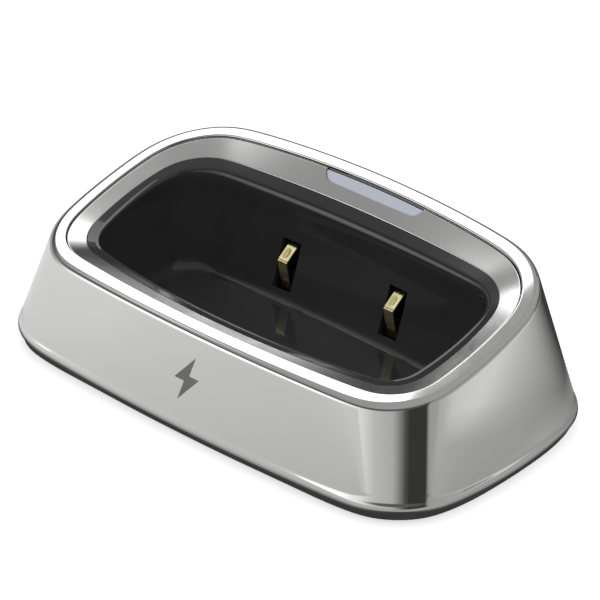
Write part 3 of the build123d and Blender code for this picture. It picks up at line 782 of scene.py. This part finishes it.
def leaf_path():
    pts, tl = [LEAF[0]], []
    for i in range(1, len(LEAF) - 1):
        p0, k, q = LEAF[i - 1], LEAF[i], LEAF[i + 1]
        a, b = p0 - k, q - k
        la, lb = np.linalg.norm(a), np.linalg.norm(b)
        d = min(0.42, 0.3 * la, 0.3 * lb)
        A_, B_ = k + a / la * d, k + b / lb * d
        for s in np.linspace(0, 1, 8):
            pts.append((1 - s) ** 2 * A_ + 2 * s * (1 - s) * k + s * s * B_)
    pts.append(LEAF[-1])
    # extra samples on the long runs
    out = [pts[0]]
    for q in pts[1:]:
        L = np.linalg.norm(q - out[-1])
        m = max(1, int(L / 0.12))
        p0 = out[-1]
        for k in range(1, m + 1):
            out.append(p0 + (q - p0) * k / m)
    return np.array(out)


def leaf(name, cx, body, node):
    path = leaf_path()
    t = np.gradient(path, axis=0)
    t /= np.linalg.norm(t, axis=1)[:, None]
    nrm = np.c_[-t[:, 1], t[:, 0]]          # towards the back of the leaf or the front, by the run
    acc = np.r_[0, np.cumsum(np.linalg.norm(np.diff(path, axis=0), axis=1))]
    knee = acc[np.argmin(np.linalg.norm(path - LEAF[2], axis=1))]
    h, w = LEAF_T / 2, LEAF_W / 2
    xs = np.array([-w, -w + 0.05, -0.45, -0.32, -0.2, 0, 0.2, 0.32, 0.45, w - 0.05, w])
    hh = np.array([h - 0.05, h, h, h, h, h, h, h, h, h, h - 0.05])
    dip = np.array([0, 0, 0, 0.03, 0.11, 0.14, 0.11, 0.03, 0, 0, 0])
    ringn = len(xs) * 2
    V = []
    for i, (pt, nn) in enumerate(zip(path, nrm)):
        along = acc[i] - knee
        g = math.exp(-((along - 1.5) / 0.75) ** 4)
        for x, hgt, dd in zip(xs, hh, dip):
            q = pt + nn * (hgt - dd * g)
            V.append((cx + x, q[0], q[1]))
        for x, hgt, dd in zip(xs[::-1], hh[::-1], dip[::-1]):
            q = pt - nn * (hgt + dd * g * 0.0)
            V.append((cx + x, q[0], q[1]))
    Fc = []
    m = len(path)
    for i in range(m - 1):
        for j in range(ringn):
            k = (j + 1) % ringn
            Fc.append([i * ringn + j, i * ringn + k, (i + 1) * ringn + k, (i + 1) * ringn + j])
    Fc.append([j for j in range(ringn)][::-1])
    Fc.append([(m - 1) * ringn + j for j in range(ringn)])
    ob = simple(name, V, Fc)
    b = bmesh.new()
    b.from_mesh(ob.data)
    bmesh.ops.recalc_face_normals(b, faces=b.faces)
    for e_ in b.edges:
        if len(e_.link_faces) == 2 and e_.calc_face_angle(0) > 0.75:
            e_.smooth = False
    for f in b.faces:
        f.smooth = True
    b.to_mesh(ob.data)
    b.free()
    ob.data.materials.append(M["gold_plate"])
    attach(ob, body)
    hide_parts(node)
    return ob


leaf("leaf_left", -CONTACT_X, "left_contact_spring", "contact_left")
leaf("leaf_right", CONTACT_X, "right_contact_spring", "contact_right")

# ------------------------------------------------------------------ studio
def stage_plane(name, centre, ux, uy, mat, camera=True, diffuse=True, shadow=True, glossy=True):
    c, ux, uy = np.array(centre, float), np.array(ux, float), np.array(uy, float)
    v = [c - ux - uy, c + ux - uy, c + ux + uy, c - ux + uy]
    me = bpy.data.meshes.new(name)
    me.from_pydata([tuple(q) for q in v], [], [(0, 1, 2, 3)])
    ob = bpy.data.objects.new(name, me)
    bpy.context.scene.collection.objects.link(ob)
    me.materials.append(mat)
    ob.visible_camera, ob.visible_diffuse, ob.visible_shadow, ob.visible_glossy = camera, diffuse, shadow, glossy
    return ob


def glow(name, col, strength):
    m = bpy.data.materials.new(name)
    m.use_nodes = True
    nt = m.node_tree
    for n_ in list(nt.nodes):
        nt.nodes.remove(n_)
    o_ = nt.nodes.new("ShaderNodeOutputMaterial")
    e_ = nt.nodes.new("ShaderNodeEmission")
    e_.inputs[0].default_value = (*col, 1)
    e_.inputs[1].default_value = strength
    nt.links.new(e_.outputs[0], o_.inputs[0])
    return m


fm, nt, bs, co = new_mat("studio_floor")
nt.links.new(mix(nt, noise(nt, co, 3, 2), (0.60, 0.60, 0.60), (0.61, 0.61, 0.61)), bs.inputs["Base Color"])
bs.inputs["Roughness"].default_value = 0.8
bs.inputs["Specular IOR Level"].default_value = 0.0
bs.inputs["Emission Color"].default_value = (1, 1, 1, 1)
bs.inputs["Emission Strength"].default_value = 0.62
stage_plane("floor", (0, 0, -0.0002), (4, 0, 0), (0, 4, 0), fm, glossy=False)

az, el, roll = math.radians(39.874), math.radians(30.035), math.radians(2.0)
back = np.array([math.sin(az) * math.cos(el), -math.cos(az) * math.cos(el), math.sin(el)])
right = np.array([math.cos(az), math.sin(az), 0.0])
up = np.cross(back, right)
R = np.array([math.cos(roll) * right + math.sin(roll) * up, -math.sin(roll) * right + math.cos(roll) * up, back])
T = np.array([-1.2652, -13.5461, -625.041]) * 0.86 * MM
loc = -R.T @ T
cam_data = bpy.data.cameras.new("camera")
cam = bpy.data.objects.new("camera", cam_data)
bpy.context.scene.collection.objects.link(cam)
m4 = Matrix.Identity(4)
for r_ in range(3):
    for c_ in range(3):
        m4[r_][c_] = R[c_][r_]
    m4[r_][3] = loc[r_]
cam.matrix_world = m4
cam_data.sensor_width = 36
cam_data.lens = 3405.7487 / 600 * 36
cam_data.clip_start = 0.01
cam_data.clip_end = 20
bpy.context.scene.camera = cam


def area(name, pos, aim, size, power, colour=(1, 1, 1)):
    d = bpy.data.lights.new(name, "AREA")
    d.shape = "RECTANGLE"
    d.size, d.size_y = size
    d.energy = power
    d.color = colour
    ob = bpy.data.objects.new(name, d)
    bpy.context.scene.collection.objects.link(ob)
    ob.location = pos
    ob.rotation_euler = (Vector(aim) - Vector(pos)).to_track_quat("-Z", "Y").to_euler()
    return ob


# surroundings that only reflections see: a dome and a floor sheet, toned by direction and place; the floor sheet
# carries a painted contact shadow round the base
AZ = [-180, -150, -110, -80, -60, -35, -10, 20, 40, 54, 59, 78, 82, 130, 145, 156, 180]
LOW = [0.30, 0.56, 0.46, 0.46, 0.90, 2.10, 1.20, 0.66, 0.55, 0.10, 0.045, 0.045, 0.44, 0.52, 0.42, 0.20, 0.22]
HIGH = [0.42, 0.42, 0.42, 0.40, 0.38, 0.36, 0.38, 0.42, 0.42, 0.42, 0.42, 0.42, 0.44, 0.46, 0.46, 0.46, 0.46]
BELT = [0.10, 0.06, 0.07, 0.25, 0.14, 0.12, 0.12, 0.12, 0.12, 0.12, 0.12, 0.12, 0.30, 0.35, 0.35, 0.35, 0.40]


def dome_tone(a, e):
    lo_, be_, hi_ = np.interp(a, AZ, LOW), np.interp(a, AZ, BELT), np.interp(a, AZ, HIGH)
    if abs(a) > 115:
        lo_ = float(np.interp(e, [3, 8], [0.03 + 0.35 * (a > 0) * (a < 150), lo_]))
    v = float(np.interp(e, [0, 15, 20, 32, 37, 90], [lo_, lo_, be_, be_, hi_, 0.43]))
    # a soft glow high at the front left
    ca = math.cos(math.radians(e)) * math.cos(math.radians(50)) * math.cos(math.radians(a + 71)) \
        + math.sin(math.radians(e)) * math.sin(math.radians(50))
    off = math.degrees(math.acos(max(-1.0, min(1.0, ca))))
    return v + 0.62 * math.exp(-(off / 8.5) ** 2)


FAR = [0.06, 0.06, 0.45, 0.75, 0.95, 0.98, 0.84, 0.62, 0.55, 0.10, 0.045, 0.045, 0.46, 0.86, 0.60, 0.14, 0.06]


def floor_tone(x, y):
    a = math.degrees(math.atan2(x, -y))
    r = math.hypot(x, y)
    far = np.interp(a, AZ, FAR)
    near = np.interp(x, [-140, -60, -20, 10, 35, 60, 100], [0.93, 0.86, 0.74, 0.66, 0.58, 0.44, 0.50])
    if y > 20:
        k = np.interp(y, [20, 40], [0, 1])
        near = near * (1 - k) + np.interp(x, [-60, 30, 62, 110], [0.05, 0.05, 0.38, 0.86]) * k
    t = np.interp(r, [110, 260], [0, 1])
    v = near * (1 - t) + far * t
    # painted contact shadow: the floor sheet's glow is darkened close round the base outline, standing in for shade
    # under the object
    ex, ey = max(abs(x) - 38, 0), max(abs(y) - 20, 0)
    painted_shadow_dist = math.hypot(ex, ey) - 6.5
    return float(v * np.interp(painted_shadow_dist, [-1, 0.5, 2.5, 7], [0.10, 0.30, 0.78, 1.0]))


def toned(name, verts, faces, tones):
    me = bpy.data.meshes.new(name)
    me.from_pydata(verts, [], faces)
    at = me.color_attributes.new("tone", "FLOAT_COLOR", "POINT")
    for k, t in enumerate(tones):
        at.data[k].color = (t, t * 1.002, t * 0.985, 1)
    m = bpy.data.materials.new(name)
    m.use_nodes = True
    nt = m.node_tree
    for n_ in list(nt.nodes):
        nt.nodes.remove(n_)
    o_ = nt.nodes.new("ShaderNodeOutputMaterial")
    e_ = nt.nodes.new("ShaderNodeEmission")
    a_ = nt.nodes.new("ShaderNodeAttribute")
    a_.attribute_name = "tone"
    nt.links.new(a_.outputs["Color"], e_.inputs[0])
    nt.links.new(e_.outputs[0], o_.inputs[0])
    me.materials.append(m)
    ob = bpy.data.objects.new(name, me)
    bpy.context.scene.collection.objects.link(ob)
    ob.visible_camera = ob.visible_diffuse = ob.visible_shadow = ob.visible_transmission = False
    return ob


NA, NE = 360, 90
dv, dt_ = [], []
for e_i in range(NE + 1):
    e_d = e_i * 90 / NE
    for a_i in range(NA):
        a_d = -180 + a_i * 360 / NA
        ar, er = math.radians(a_d), math.radians(e_d)
        dv.append((0.8 * math.sin(ar) * math.cos(er), -0.8 * math.cos(ar) * math.cos(er), 0.8 * math.sin(er) - 0.0001))
        dt_.append(dome_tone(a_d, e_d))
df = [(e_i * NA + a_i, e_i * NA + (a_i + 1) % NA, (e_i + 1) * NA + (a_i + 1) % NA, (e_i + 1) * NA + a_i)
      for e_i in range(NE) for a_i in range(NA)]
toned("reflection_dome", dv, df, dt_)
gr = np.r_[-800, -600, -450, -350, -270, -210, -170, np.arange(-140, 141, 2.0), 170, 210, 270, 350, 450, 600, 800]
G = len(gr)
fv = [(x * MM, y * MM, -0.0001) for x in gr for y in gr]
ft = [floor_tone(x, y) for x in gr for y in gr]
ff = [(i_ * G + j_, (i_ + 1) * G + j_, (i_ + 1) * G + j_ + 1, i_ * G + j_ + 1) for i_ in range(G - 1) for j_ in range(G - 1)]
toned("reflection_floor", fv, ff, ft)

dirn = Vector((-0.553, 0.373, 0.745)).normalized()
key = area("key_box", tuple(dirn * 0.7), (0, 0, 0.02), (0.352, 0.352), 0.54)
key.data.shape = "DISK"

world = bpy.data.worlds.new("studio")
bpy.context.scene.world = world
world.use_nodes = True
wt = world.node_tree
for n_ in list(wt.nodes):
    wt.nodes.remove(n_)
wo = wt.nodes.new("ShaderNodeOutputWorld")
bg = wt.nodes.new("ShaderNodeBackground")
tc = wt.nodes.new("ShaderNodeTexCoord")
sp = wt.nodes.new("ShaderNodeSeparateXYZ")
wt.links.new(tc.outputs["Generated"], sp.inputs[0])
cr = wt.nodes.new("ShaderNodeValToRGB")
el_ = cr.color_ramp.elements
stops = [(0.0, 0.60), (0.3, 0.80), (0.6, 0.95), (0.8, 1.0), (1.0, 1.0)]
while len(el_) < len(stops):
    el_.new(0.5)
for e_, (q, v) in zip(el_, stops):
    e_.position = q
    e_.color = (v, v, v * 1.01, 1)
wt.links.new(sp.outputs[2], cr.inputs[0])
lp = wt.nodes.new("ShaderNodeLightPath")
mx = wt.nodes.new("ShaderNodeMix")
mx.data_type = "RGBA"
wt.links.new(lp.outputs["Is Camera Ray"], mx.inputs[0])
wt.links.new(cr.outputs[0], mx.inputs[6])
mx.inputs[7].default_value = (1.0, 1.0, 1.0, 1)
wt.links.new(mx.outputs[2], bg.inputs[0])
bg.inputs[1].default_value = 1.0
wt.links.new(bg.outputs[0], wo.inputs[0])
bpy.context.scene.view_settings.view_transform = "Standard"
